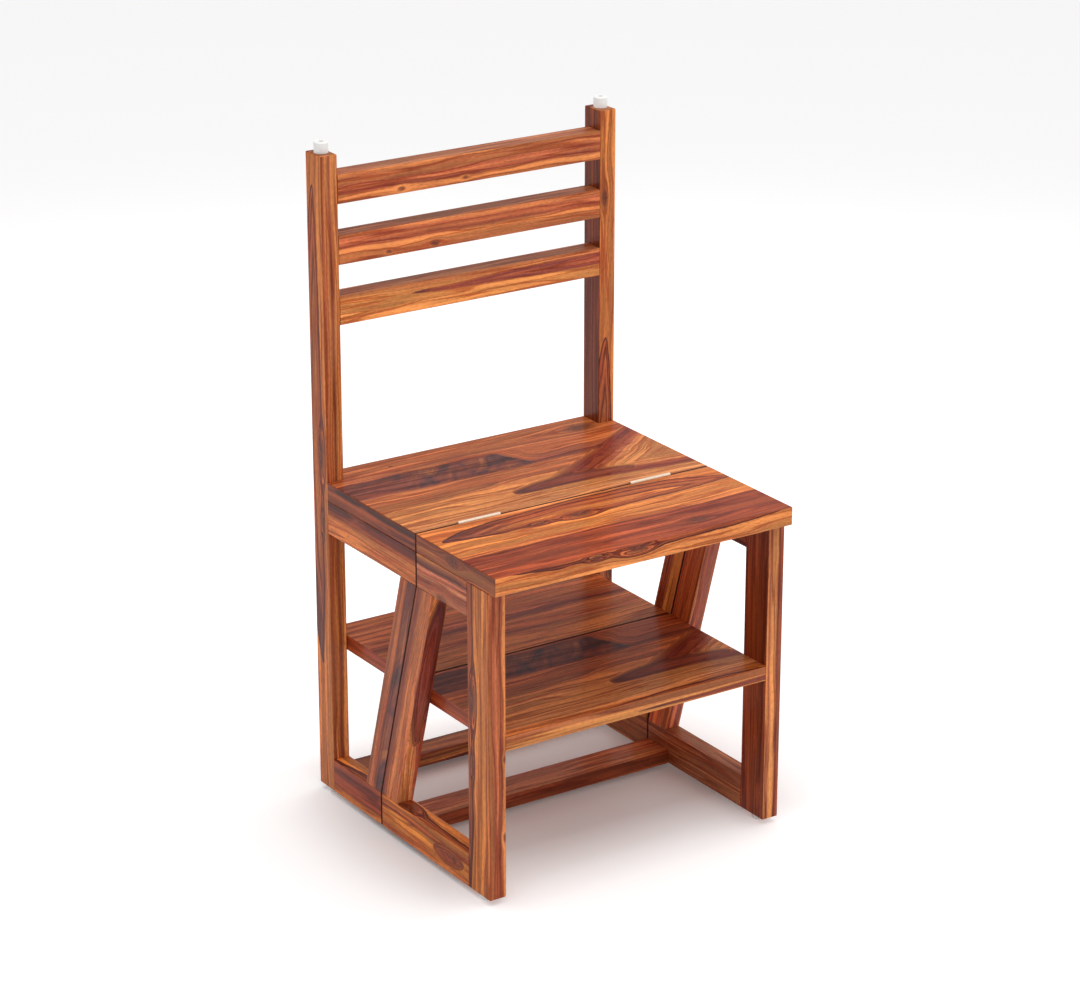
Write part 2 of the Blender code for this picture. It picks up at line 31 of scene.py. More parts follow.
def feed(tree, node, links):
    # links: socket -> another node, a socket or a plain value
    for socket, source in links.items():
        if isinstance(source, bpy.types.Node):
            source = source.outputs[0]
        if isinstance(source, bpy.types.NodeSocket):
            tree.links.new(source, node.inputs[socket])
        else:
            node.inputs[socket].default_value = source


def addNode(tree, kind, links=None, stops=None, **settings):
    # stops: (place, hex) pairs of a ramp
    node = tree.nodes.new(kind if kind.startswith("NodeGroup") else "ShaderNode" + kind)
    for name, value in settings.items():
        setattr(node, name, value)
    feed(tree, node, links or {})
    if stops:
        elements = node.color_ramp.elements
        while len(elements) < len(stops):
            elements.new(0.5)
        for element, (place, colour) in zip(elements, stops):
            element.position = place
            element.color = linearColour(colour)
    return node


def mathNode(tree, operation, *values):
    return addNode(tree, "Math", dict(enumerate(values)), operation=operation)


def vectorNode(tree, operation, *values):
    return addNode(tree, "VectorMath", dict(enumerate(values)), operation=operation)


def scaleNode(tree, vector, factor):
    return addNode(tree, "VectorMath", {0: vector, "Scale": factor}, operation="SCALE")


def rangeNode(tree, value, before, after=(0.0, 1.0), ease="SMOOTHSTEP", clamp=True):
    # carries the first pair of ends to the second
    return addNode(tree, "MapRange", {0: value, 1: before[0], 2: before[1], 3: after[0], 4: after[1]},
                   interpolation_type=ease, clamp=clamp)


def mixNode(tree, share, first, second, kind="RGBA", blend="MIX"):
    # the node has sockets of its own for each kind of data
    socket, output = {"FLOAT": (2, 0), "VECTOR": (4, 1), "RGBA": (6, 2)}[kind]
    links = {0: share, socket: first, socket + 1: second}
    return addNode(tree, "Mix", links, data_type=kind, blend_type=blend).outputs[output]


def noiseNode(tree, place, along, across, detail, **more):
    # noise stretched along x: its marks are about along by across, in the units of place
    stretched = vectorNode(tree, "MULTIPLY", place, (1 / along, 1 / across, 1 / across))
    return addNode(tree, "TexNoise", {"Vector": stretched, "Scale": 1.0, "Detail": detail, **more})


def newMaterial(name):
    # an empty node tree with the surface shader in it
    material = bpy.data.materials.new(name)
    material.use_nodes = True
    tree = material.node_tree
    tree.nodes.clear()
    shader = addNode(tree, "BsdfPrincipled")
    addNode(tree, "OutputMaterial", {"Surface": shader})
    return material, tree, shader


def dress(node, material):
    # the material goes on the CAD node's own slots
    for materialSlot in nodes[node].material_slots:
        materialSlot.link = "OBJECT"
        materialSlot.material = material


# sheesham, planed, sanded and lacquered: bold orange, gold and red-brown bands with dark heartwood,
# pointed eyes where the rings are cut flat, and fine darker ring lines.
# One sheet of figure serves all the boards. s runs along the grain and a across it, in mm.
timberSheet = {
    "boards": (0, 560), "strips": (600, 1000), "sides": (1000, 1300),   # the sheet's three parts, across
    "stripsFrom": 580, "sidesFrom": 990,          # where a face's place counts as in the later parts
    "drift": 3.3, "driftAlong": 210.0, "driftAcross": 70.0,       # the rings wander slowly
    "ripple": 1.1, "rippleAlong": 60.0, "rippleAcross": 22.0,
    "shiver": 0.3, "shiverAlong": 14.0, "shiverAcross": 5.0,
    "stripCalm": 0.55,                            # how much of that the straight strips keep
    "veinSpacing": 13.0, "veinWidth": 0.055,      # dark ring veins: mm apart, share of the noise
    "lineSpacing": 3.0,                           # finer ring lines, mm
    "veinDrift": 0.003, "lineDrift": 0.008,       # how soon veins and lines change along the grain, per mm
    "patchAlong": 70.0, "patchAcross": 14.0,      # redder patches
    "streakAlong": 120.0, "streakAcross": 6.5,    # paler and darker streaks that start and end
    "fleckAlong": 7.0, "fleckAcross": 2.0,        # short flecks
    "flameAlong": 42.0, "flameAcross": 7.0,       # flares inside the eyes
    "poreWidth": 0.9, "poreLength": 9.0,          # real pores are 0.3 mm wide, drawn coarser so they show
    # how dark and how light each of them makes the timber
    "ringShade": (0.70, 1.14), "lineShade": (0.89, 1.10), "streakShade": (0.80, 1.14),
    "fleckShade": (0.82, 1.18),
    "lightness": 1.17,                            # makes up for what the lines and pores take away
    "depth": 1.02,                                # the lacquer wets the timber and deepens its colour
    # how much of its own colour each of them lays over the timber, at most
    "veinCover": 0.66, "patchCover": 0.45, "knotCover": 0.85, "poreCover": 0.38, "rimCover": 0.88,
    "tipCover": 0.9,
    "veinColour": "#A8583A", "patchColour": "#AA5432", "rimColour": "#5A2418", "poreColour": "#5A3024",
    # knots: how wide their pull is along and across, how far it reaches, where it changes sides and
    # where their core starts and is full, all in radii; and the swirls in them, per mm
    "knotStretch": (2.2, 1.2), "knotReach": 2.4, "knotTurn": 0.6, "knotCore": (0.95, 0.3), "knotSwirl": 0.22,
    "knotColours": [(0.3, "#3E201C"), (0.5, "#683224"), (0.7, "#98502E")],
}

# bands across the sheet: where each colour stands, in mm
sheetBands = [
    (0, "#BE6C40"), (24, "#C87646"), (44, "#C27044"), (50, "#A5593A"), (54, "#D58351"), (60, "#C76E45"),
    (80, "#CF7847"), (110, "#B66345"), (116, "#8C4634"), (121, "#904A38"), (126, "#CB7C4B"),
    (150, "#CB7647"), (162, "#BA6B44"), (172, "#D2864E"), (205, "#DA9054"), (235, "#D48C54"),
    (256, "#E69E66"), (268, "#DB8245"), (300, "#E28A48"), (352, "#DA8C4C"), (370, "#CF7845"),
    (373, "#6E2A18"), (378, "#A44C30"), (392, "#863A24"), (404, "#B65A38"), (418, "#863C26"),
    (432, "#B05432"), (450, "#9A462A"), (480, "#8A4530"), (520, "#975236"), (560, "#7E4430"),
]

# straight-grained strips, kept beyond the figured part. The dark strips from 804 to 864 are partly dark
# heartwood and partly painted shade: the x faces of the right posts, legs and aprons show them, and the
# inner of these lie in the chair's shade
stripBands = [
    (600, "#CC8046"), (608, "#BC6C40"), (613, "#D2824A"), (618, "#A85638"), (622, "#CC7646"),
    (627, "#A25038"), (632, "#DA8A4C"), (644, "#C27442"), (652, "#C07444"), (658, "#D68E4C"),
    (684, "#DC924E"), (694, "#CA8044"), (700, "#C87A44"), (706, "#A65A38"), (711, "#D08448"),
    (716, "#884430"), (720, "#D48A4C"), (727, "#D88E50"), (731, "#7E3C2C"), (736, "#B4643E"),
    (742, "#965040"), (750, "#B46C44"), (760, "#C45A34"), (770, "#DA7A44"), (780, "#B8542F"),
    (790, "#DA7E48"), (804, "#96482A"), (816, "#72321C"), (840, "#884424"), (864, "#642C18"),
    (890, "#A46446"), (940, "#B0744C"),
]

# strips for the sides of the seat, the aprons and the floor rails
sideBands = [
    (1000, "#6F2E16"), (1007, "#481812"), (1013, "#9C5030"), (1018, "#6F301A"), (1025, "#954F2F"),
    (1030, "#9E5631"), (1036, "#7D3A1E"), (1043, "#B26C3F"), (1055, "#9C5831"),
    (1060, "#5A2016"), (1073, "#642616"), (1078, "#9F5028"), (1083, "#D8844A"), (1108, "#D07C44"),
    (1120, "#D08C58"), (1125, "#A85C3D"), (1131, "#561E14"), (1135, "#C87C60"), (1140, "#8C402E"),
    (1145, "#CC8660"), (1150, "#7C3424"), (1158, "#B86E50"),
    (1180, "#BC7439"), (1188, "#A4602F"), (1195, "#782E18"), (1199, "#C6823D"), (1227, "#B66A36"),
    (1240, "#904428"), (1250, "#642418"), (1262, "#8C4028"), (1274, "#863A24"), (1280, "#C07438"),
]

# eyes: pointed figures between two tips (from, to), whose edges lie top and bottom mm from the centre
# line. fullness rounds the two edges, even evens out their rings, rim is the dark outline's width and soft
# its blur. tip tints the end up to tipUntil, tipReach mm deep; flame is how far the inner bands flare;
# nothing is painted beyond until. The colours go from the outline (0) inwards, in mm.
sheetEyes = [
    {"from": 10, "to": 462, "until": 480, "centre": 308, "top": 41, "bottom": 15,
     "fullness": 0.58, "bottomFullness": 0.5, "even": 2.4, "rim": 4.4, "soft": 1.0,
     "tip": "#4E2C34", "tipReach": 110, "tipUntil": 78, "flame": 3,
     "colours": [(0, "#5E2416"), (2.5, "#7A3422"), (5, "#C06636"), (10, "#B25C34"), (12, "#6A2816"),
                 (14.5, "#9C4828"), (17, "#D07844"), (23, "#C86A3E"), (25, "#7E3620"), (28, "#CE7842"),
                 (35, "#DE8A48"), (41, "#BE6A3C")]},
    {"from": 186, "to": 2000, "until": 480, "centre": 209, "top": 430, "bottom": 30,
     "fullness": 1.65, "bottomFullness": 0.6, "even": 2.4, "rim": 0.1, "soft": 8.0,
     "tip": "#5E3436", "tipReach": 40, "tipUntil": 500, "flame": 12,
     "colours": [(0, "#8E4230"), (4, "#9C462E"), (11, "#7A302A"), (18, "#A84C30"), (24, "#B05432"),
                 (30, "#8C3E2A"), (38, "#C0704A"), (47, "#D68C52"), (66, "#E2985A"), (74, "#D68C54")]},
    {"from": 183, "to": 376, "until": 378, "centre": 206, "top": 17, "bottom": 11,
     "fullness": 0.75, "bottomFullness": 0.7, "even": 1.2, "rim": 0.1, "soft": 7.0,
     "tip": "#4E303A", "tipReach": 26, "tipUntil": 250, "flame": 7,
     "colours": [(0, "#84402E"), (3, "#7A3A30"), (7, "#9C4E38"), (11, "#84443A"), (15, "#B05C3A")]},
    {"from": -80, "to": 193, "until": 200, "centre": 162, "top": 7, "bottom": 8,
     "fullness": 0.7, "bottomFullness": 0.7, "even": 1.0, "rim": 0.1, "soft": 1.0,
     "tip": "#94563A", "tipReach": 10, "tipUntil": 500, "flame": 2,
     "colours": [(0, "#945236"), (1.5, "#B06C42"), (4, "#C47A46"), (6, "#A8603C"), (8, "#BC7444")]},
    {"from": 107, "to": 980, "until": 1000, "centre": 665, "top": 11, "bottom": 7,
     "fullness": 0.6, "bottomFullness": 0.6, "even": 1.3, "rim": 0.1, "soft": 1.0,
     "tip": "#6E3A38", "tipReach": 6, "tipUntil": 500, "flame": 4,
     "colours": [(0, "#B0603C"), (1.5, "#A8563A"), (3.5, "#8A423A"), (6, "#B8643E"), (9, "#9C5036"),
                 (12, "#CC7E48")]},
    {"from": 140, "to": 216, "until": 220, "centre": 1203, "top": 11, "bottom": 11,
     "fullness": 0.6, "bottomFullness": 0.6, "even": 1.0, "rim": 1.2, "soft": 2.0,
     "tip": "#6A3428", "tipReach": 10, "tipUntil": 500, "flame": 6,
     "colours": [(0, "#6A2E1C"), (2, "#964E2A"), (4, "#6E3424"), (6, "#A05832"), (9, "#5E2C22"),
                 (12, "#8A4C34")]},
]

# what all the eyes share, in mm, but for the last two: shares of soft and of rim
eyeShape = {
    "tipRound": 6.0,                              # how softly the upper and lower rings meet
    "flameFrom": 2.0,                             # how deep the flares start
    "tipFull": 4.0, "tipBlur": (60.0, -30.0),     # where a tip's tint is full, and how it ends
    "blur": (-1.2, 0.6), "rimEdge": 0.3,
}

# the dark heartwood block: it ends in a slanted, smoky edge
sheetBlock = {
    "end": 244, "slant": 0.5, "top": 60, "bottom": 121,     # mm on the sheet, and how its end leans
    "endBlur": (5.0, -4.0), "topBlur": (0.0, 4.0), "bottomBlur": (2.0, -1.0),
    "wispTurn": 56, "wispLength": 60, "wispWidth": 19,      # slanted wisps inside it: degrees and mm
    "wispPush": 18,                             # how far they break its end up
    "ringBend": 22, "bendBlur": 4.0,            # how the rings bend round it
    "wispTones": (0.32, 0.70),                  # the noise at the first and the last of its colours
    "calmUntil": 60, "smokyFrom": 130,          # the wisps show towards its end
    "calmTone": 0.48, "calmShare": 0.25,        # the rest's tone, and how much of the wisps is left there
    "rimDepth": (-26, -4), "rimDark": 0.3,      # it darkens towards its end
    "colours": [(0.0, "#4F3336"), (0.25, "#643B3C"), (0.45, "#7C4239"), (0.7, "#864A38"), (1.0, "#A26542")],
}

# knots: place on the sheet, radius, and how far the grain parts round them
sheetKnots = [(400, 38, 18, 13), (151, 318, 6, 8), (214, 318, 10, 13), (96, 634, 4, 4), (194, 633, 3, 3),
              (640, 302, 8, 7), (330, 418, 9, 9), (102, 30, 3, 2), (375, 643, 3, 3), (446, 643, 5, 5),
              (75, 1040, 11, 6), (60, 1166, 9, 9), (180, 1203, 4, 3)]


def wanderingRings(tree, sheet, place, across, inStrips):
    # the place across the grain, in mm, as the rings wander: from slow drift to fine shiver
    calm = rangeNode(tree, inStrips, (0.0, 1.0), (1.0, sheet["stripCalm"]), ease="LINEAR")
    ring = across
    for wave in ("drift", "ripple", "shiver"):
        swell = noiseNode(tree, place, sheet[wave + "Along"], sheet[wave + "Across"], 1.5)
        swing = 2.0 * sheet[wave]
        swell = rangeNode(tree, swell, (0.2, 0.8), (-swing, swing), ease="LINEAR", clamp=False)
        ring = mathNode(tree, "MULTIPLY_ADD", swell, calm, ring)
    return ring


def ringsRoundKnots(tree, sheet, place, ring):
    # the grain parts round each knot; the second result is 1 in the knots' cores
    along, across = sheet["knotStretch"]
    turn = sheet["knotTurn"]
    cores = 0.0
    for knotS, knotA, radius, part in sheetKnots:
        offset = vectorNode(tree, "SUBTRACT", place, (knotS, knotA, 0))
        shaped = vectorNode(tree, "MULTIPLY", offset, (1 / (along * radius), 1 / (across * radius), 0))
        reach = vectorNode(tree, "LENGTH", shaped).outputs["Value"]
        bell = rangeNode(tree, reach, (sheet["knotReach"], 0.0), (0.0, part), ease="SMOOTHERSTEP")
        side = addNode(tree, "SeparateXYZ", {0: shaped}).outputs["Y"]
        side = rangeNode(tree, side, (-turn, turn), (-1.0, 1.0))
        push = mathNode(tree, "MULTIPLY", side, bell)
        ring = mathNode(tree, "SUBTRACT", ring, push)
        core = rangeNode(tree, reach, sheet["knotCore"])
        cores = mathNode(tree, "MAXIMUM", cores, core)
    return ring, cores


def paintBands(tree, sheet, ring, inStrips, inSides):
    # base colours by the place across
    colour = None
    for part, bands, isHere in (("boards", sheetBands, None), ("strips", stripBands, inStrips),
                                ("sides", sideBands, inSides)):
        first, last = sheet[part]
        share = rangeNode(tree, ring, (first, last), ease="LINEAR")
        stops = [((at - first) / (last - first), hexText) for at, hexText in bands]
        painted = addNode(tree, "ValToRGB", {0: share}, stops=stops)
        colour = painted if isHere is None else mixNode(tree, isHere, colour, painted)
    return colour


def paintBlock(tree, block, place, s, a, ring, colour):
    # the smoky block, and the rings that bend round its end: gives the colour and the ring that the
    # lines follow
    smoke = addNode(tree, "VectorRotate", {0: place, 3: math.radians(block["wispTurn"])},
                    rotation_type="Z_AXIS")
    smoke = noiseNode(tree, smoke, block["wispLength"], block["wispWidth"], 4.0, Distortion=0.9)
    # its end leans by slant mm for each mm across, from its top edge down
    level = block["end"] - block["slant"] * block["top"]
    end = mathNode(tree, "MULTIPLY_ADD", a, block["slant"], level)
    along = mathNode(tree, "SUBTRACT", s, end)
    along = mathNode(tree, "MULTIPLY_ADD", smoke, -block["wispPush"], along)
    along = mathNode(tree, "ADD", along, block["wispPush"] / 2)
    corner = mathNode(tree, "SUBTRACT", block["bottom"] + 1.0, ring)
    corner = mathNode(tree, "SMOOTH_MIN", along, corner, block["ringBend"])
    blur = block["bendBlur"]
    above = rangeNode(tree, corner, (0.0, blur))
    below = rangeNode(tree, ring, (block["top"] - blur / 2, block["top"] + blur))
    bent = mathNode(tree, "MULTIPLY", above, below)
    lineRing = mixNode(tree, bent, ring, corner, "FLOAT")
    mask = rangeNode(tree, along, block["endBlur"])
    for edge in ("top", "bottom"):
        inside = rangeNode(tree, ring, [block[edge] + shift for shift in block[edge + "Blur"]])
        mask = mathNode(tree, "MULTIPLY", mask, inside)
    rim = rangeNode(tree, along, block["rimDepth"], (0.0, block["rimDark"]))
    tone = rangeNode(tree, smoke, block["wispTones"], ease="LINEAR")
    streaky = rangeNode(tree, s, (block["calmUntil"], block["smokyFrom"]), (block["calmShare"], 1.0))
    tone = mixNode(tree, streaky, block["calmTone"], tone, "FLOAT")
    tone = mathNode(tree, "SUBTRACT", tone, rim)
    paint = addNode(tree, "ValToRGB", {0: tone}, stops=block["colours"])
    return mixNode(tree, mask, colour, paint), lineRing


def paintEye(tree, sheet, eye, s, ring, flame, colour, lineRing):
    # an eye's ring lines follow its outline, its inner bands flare like flames, and a dark rim of the
    # same width all round closes it: gives the colour and the ring that the lines follow
    reach = rangeNode(tree, s, (eye["from"], eye["to"]), ease="LINEAR", clamp=False)
    back = mathNode(tree, "SUBTRACT", 1.0, reach)
    # a parabola between the tips, 1 in the middle
    bow = mathNode(tree, "MULTIPLY", reach, back)
    bow = mathNode(tree, "MULTIPLY", bow, 4.0)
    bow = mathNode(tree, "MAXIMUM", bow, 0.0)
    under = mathNode(tree, "POWER", bow, eye["bottomFullness"])
    bow = mathNode(tree, "POWER", bow, eye["fullness"])
    off = mathNode(tree, "SUBTRACT", ring, eye["centre"])
    # mm inside the upper and the lower edge
    upper = mathNode(tree, "MULTIPLY_ADD", bow, eye["top"], off)
    lower = mathNode(tree, "MULTIPLY", under, eye["bottom"])
    lower = mathNode(tree, "SUBTRACT", lower, off)
    rim = mathNode(tree, "MINIMUM", upper, lower)
    rim = rangeNode(tree, rim, (eye["rim"], eyeShape["rimEdge"] * eye["rim"]), (0.0, sheet["rimCover"]))
    lower = mathNode(tree, "MULTIPLY", lower, eye["even"])
    depth = mathNode(tree, "SMOOTH_MIN", upper, lower, eyeShape["tipRound"])
    started = mathNode(tree, "GREATER_THAN", s, eye["from"] + 1.0)
    going = mathNode(tree, "LESS_THAN", s, eye["until"])
    inside = rangeNode(tree, depth, [share * eye["soft"] for share in eyeShape["blur"]])
    inside = mathNode(tree, "MULTIPLY", inside, mathNode(tree, "MULTIPLY", started, going))
    # the bands by their depth, which the flares shift further in
    widest = eye["colours"][-1][0]
    share = mathNode(tree, "MULTIPLY_ADD", flame, 2.0 * eye["flame"], depth)
    share = mathNode(tree, "SUBTRACT", share, eye["flame"])
    deeper = rangeNode(tree, depth, (eyeShape["flameFrom"], eyeShape["flameFrom"] + eye["flame"]))
    share = mixNode(tree, deeper, depth, share, "FLOAT")
    share = mathNode(tree, "DIVIDE", share, widest)
    paint = addNode(tree, "ValToRGB", {0: share}, stops=[(at / widest, c) for at, c in eye["colours"]])
    # a tip is where the eye is low
    height = mathNode(tree, "SUBTRACT", upper, off)
    height = mathNode(tree, "MULTIPLY_ADD", under, eye["bottom"], height)
    tip = rangeNode(tree, height, (eye["tipReach"], eyeShape["tipFull"]), (0.0, sheet["tipCover"]))
    tipEnd = [eye["tipUntil"] + shift for shift in eyeShape["tipBlur"]]
    tip = mathNode(tree, "MULTIPLY", tip, rangeNode(tree, s, tipEnd, ease="LINEAR"))
    for cover, darker in ((tip, eye["tip"]), (rim, sheet["rimColour"])):
        paint = mixNode(tree, cover, paint, linearColour(darker))
    return mixNode(tree, inside, colour, paint), mixNode(tree, inside, lineRing, depth, "FLOAT")


def lineNoise(tree, s, real, drift, spacing, detail):
    # noise drawn out into lines along the grain
    along = mathNode(tree, "MULTIPLY", s, drift)
    across = mathNode(tree, "DIVIDE", real, spacing)
    lines = addNode(tree, "CombineXYZ", {0: along, 1: across})
    return addNode(tree, "TexNoise", {"Vector": lines, "Scale": 1.0, "Detail": detail, "Roughness": 0.6})


def drawLines(tree, sheet, s, real, colour):
    # soft ring bands, the dark veins between them, and finer lines
    veins = lineNoise(tree, s, real, sheet["veinDrift"], sheet["veinSpacing"], 2.0)
    colour = scaleNode(tree, colour, rangeNode(tree, veins, (0.35, 0.65), sheet["ringShade"]))
    vein = mathNode(tree, "SUBTRACT", veins, 0.5)
    vein = mathNode(tree, "ABSOLUTE", vein)
    vein = rangeNode(tree, vein, (sheet["veinWidth"], 0.0), (0.0, sheet["veinCover"]))
    colour = mixNode(tree, vein, colour, linearColour(sheet["veinColour"]), blend="MULTIPLY")
    lines = lineNoise(tree, s, real, sheet["lineDrift"], sheet["lineSpacing"], 3.0)
    return scaleNode(tree, colour, rangeNode(tree, lines, (0.30, 0.70), sheet["lineShade"], ease="LINEAR"))


def drawMarks(tree, sheet, place, timber, s, real, colour):
    # streaks, redder patches and short flecks: gives the colour and the flecks
    streak = addNode(tree, "CombineXYZ", {0: s, 1: real})
    streak = noiseNode(tree, streak, sheet["streakAlong"], sheet["streakAcross"], 3.0, Distortion=0.3)
    colour = scaleNode(tree, colour, rangeNode(tree, streak, (0.32, 0.68), sheet["streakShade"]))
    patch = noiseNode(tree, place, sheet["patchAlong"], sheet["patchAcross"], 3.0, Distortion=0.4)
    patch = rangeNode(tree, patch, (0.50, 0.72), (0.0, sheet["patchCover"]))
    colour = mixNode(tree, patch, colour, linearColour(sheet["patchColour"]))
    fleck = noiseNode(tree, timber, sheet["fleckAlong"], sheet["fleckAcross"], 2.5, Distortion=0.3)
    shades = [shade * sheet["lightness"] for shade in sheet["fleckShade"]]
    colour = scaleNode(tree, colour, rangeNode(tree, fleck, (0.25, 0.75), shades, ease="LINEAR"))
    return colour, fleck


def sheeshamFigure(sheet):
    # the sheet as one node group: it is given a place on the sheet, the place in the timber and the
    # sheet's spread on this face, and gives the colour and the relief there.
    # Noise lies mostly between 0.3 and 0.7, so the ranges taken from it start and end near there.
    tree = bpy.data.node_groups.new("sheeshamFigure", "ShaderNodeTree")
    for name in ("Place", "Timber"):
        tree.interface.new_socket(name, in_out="INPUT", socket_type="NodeSocketVector")
    tree.interface.new_socket("Spread", in_out="INPUT", socket_type="NodeSocketFloat")
    tree.interface.new_socket("Colour", in_out="OUTPUT", socket_type="NodeSocketColor")
    tree.interface.new_socket("Relief", in_out="OUTPUT", socket_type="NodeSocketFloat")
    given = addNode(tree, "NodeGroupInput").outputs
    place, timber, spread = given["Place"], given["Timber"], given["Spread"]
    split = addNode(tree, "SeparateXYZ", {0: place}).outputs
    s, a = split["X"], split["Y"]
    inStrips = mathNode(tree, "GREATER_THAN", a, sheet["stripsFrom"])
    inSides = mathNode(tree, "GREATER_THAN", a, sheet["sidesFrom"])

    ring = wanderingRings(tree, sheet, place, a, inStrips)
    ring, knots = ringsRoundKnots(tree, sheet, place, ring)
    colour = paintBands(tree, sheet, ring, inStrips, inSides)
    colour, lineRing = paintBlock(tree, sheetBlock, place, s, a, ring, colour)
    flame = noiseNode(tree, place, sheet["flameAlong"], sheet["flameAcross"], 3.0, Distortion=0.4)
    for eye in sheetEyes:
        colour, lineRing = paintEye(tree, sheet, eye, s, ring, flame, colour, lineRing)

    # lines and streaks keep their real width, whatever the sheet's spread on this face
    real = mathNode(tree, "DIVIDE", lineRing, spread)
    colour = drawLines(tree, sheet, s, real, colour)
    colour, fleck = drawMarks(tree, sheet, place, timber, s, real, colour)
    colour = addNode(tree, "HueSaturation", {"Saturation": sheet["depth"], "Color": colour})

    # the knots' cores
    swirl = addNode(tree, "TexNoise", {"Vector": place, "Scale": sheet["knotSwirl"], "Detail": 3.0,
                                       "Distortion": 1.5})
    knotColour = addNode(tree, "ValToRGB", {0: swirl}, stops=sheet["knotColours"])
    knots = mathNode(tree, "MULTIPLY", knots, sheet["knotCover"])
    colour = mixNode(tree, knots, colour, knotColour)

    # pores run along the timber
    pores = noiseNode(tree, timber, sheet["poreLength"], sheet["poreWidth"], 1.0)
    pores = rangeNode(tree, pores, (0.62, 0.74))
    cover = mathNode(tree, "MULTIPLY", pores, sheet["poreCover"])
    colour = mixNode(tree, cover, colour, linearColour(sheet["poreColour"]))
    relief = mathNode(tree, "MULTIPLY_ADD", pores, -0.5, fleck)
    addNode(tree, "NodeGroupOutput", {"Colour": colour, "Relief": relief})
    return tree


figure = sheeshamFigure(timberSheet)
print("wood figure ready")

# satin lacquer, wiped thin: the timber shows through it nearly matt, under a faint clear gloss
lacquer = {
    "roughness": 0.45, "specular": 0.12, "ior": 1.5,
    "coat": 0.16, "coatRoughness": 0.12,
    "relief": 0.06, "poreDepth": 0.6,      # how much the pores show in the surface, and their depth in mm
}

# painted shade in the split: a dark line on the rounded arrises where the halves meet, mm on either side of
# its middle. The two flat faces that meet in it stay unpainted, as they show when the chair is turned over.
jointLine = {"from": 1.3, "to": 2.5, "colour": "#24100A", "strength": 0.9, "flatFrom": 0.985}

# painted light: red, green and blue by the way a face points. The room's light is neutral, and these paint
# each side with a warmer or cooler light of its own
paintedSideLight = {"x": (1.07, 0.955, 0.84), "y": (1.01, 0.98, 1.15), "z": (1.035, 0.96, 0.89)}


def woodMaterial(piece, faces, turn=0.0, timberAxis="x", joint=None):
    # faces: which part of the sheet each pair of faces shows. For a face whose normal is x, y or z:
    # (axis along, sheet mm per mm, place on the piece, place on the sheet), then the same across, and
    # at the end the face's tone: partly lighter or darker timber, partly painted shade and painted light
    # for how much light the face gets.
    # turn tips the piece's frame about X, for the slanted posts; timberAxis is the way the grain runs;
    # joint is the y at which the chair's split passes the piece.
    words = [word.capitalize() for word in piece.split("_")]
    material, tree, shader = newMaterial("lacqueredSheesham" + "".join(words))
    where = addNode(tree, "TexCoord").outputs
    place = scaleNode(tree, where["Object"], 1 / mm)
    normal = where["Normal"]
    if turn:
        place = addNode(tree, "VectorRotate", {0: place, 3: turn}, rotation_type="X_AXIS")
        normal = addNode(tree, "VectorRotate", {0: normal, 3: turn}, rotation_type="X_AXIS")
    split = addNode(tree, "SeparateXYZ", {0: place}).outputs
    facing = vectorNode(tree, "ABSOLUTE", normal)
    facing = addNode(tree, "SeparateXYZ", {0: facing}).outputs
    shown = spreads = tonesAndLight = None
    for axis in ("x", "y", "z"):
        along, across, *tone = faces[axis]
        # painted light and shade: the side's tint times the face's tone
        tone = [share * (tone[0] if tone else 1.0) for share in paintedSideLight[axis]]
        values = []
        for direction, scale, at, sheetAt in (along, across):
            values.append(mathNode(tree, "MULTIPLY_ADD", split[direction.upper()], scale,
                                   sheetAt - scale * at))
        view = addNode(tree, "CombineXYZ", dict(enumerate(values)))
        spread = abs(across[1])
        if shown is None:
            shown, spreads, tonesAndLight = view, spread, tone
            continue
        # above 0.7, the face is within 45 degrees of that axis
        here = mathNode(tree, "GREATER_THAN", facing[axis.upper()], 0.7)
        shown = mixNode(tree, here, shown, view, "VECTOR")
        spreads = mixNode(tree, here, spreads, spread, "FLOAT")
        tonesAndLight = mixNode(tree, here, tonesAndLight, tone, "VECTOR")
    order = {"x": "XYZ", "y": "YXZ", "z": "ZXY"}[timberAxis]
    timber = addNode(tree, "CombineXYZ", {i: split[name] for i, name in enumerate(order)})
    look = addNode(tree, "Group", {"Place": shown, "Timber": timber, "Spread": spreads},
                   node_tree=figure).outputs
    bump = addNode(tree, "Bump", {"Height": look["Relief"], "Strength": lacquer["relief"],
                                  "Distance": lacquer["poreDepth"] * mm})
    # the timber's colour, lightened or darkened by the painted light and shade of its side and face
    colour = vectorNode(tree, "MULTIPLY", look["Colour"], tonesAndLight)
    # painted shade along the chair's split between the halves
    if joint is not None:
        off = mathNode(tree, "SUBTRACT", split["Y"], joint)
        off = mathNode(tree, "ABSOLUTE", off)
        splitShade = rangeNode(tree, off, (jointLine["to"], jointLine["from"]), (0.0, jointLine["strength"]))
        crosses = mathNode(tree, "LESS_THAN", facing["Y"], jointLine["flatFrom"])
        splitShade = mathNode(tree, "MULTIPLY", splitShade, crosses)
        colour = mixNode(tree, splitShade, colour, linearColour(jointLine["colour"]))
    feed(tree, shader, {"Base Color": colour, "Normal": bump, "Roughness": lacquer["roughness"],
                        "IOR": lacquer["ior"], "Specular IOR Level": lacquer["specular"],
                        "Coat Weight": lacquer["coat"], "Coat Roughness": lacquer["coatRoughness"]})
    return material


# where the split between the halves passes the seat, the step and the floor rails: y in mm
splitAt = {"seat": -37, "step": 14.1, "floor": 60}

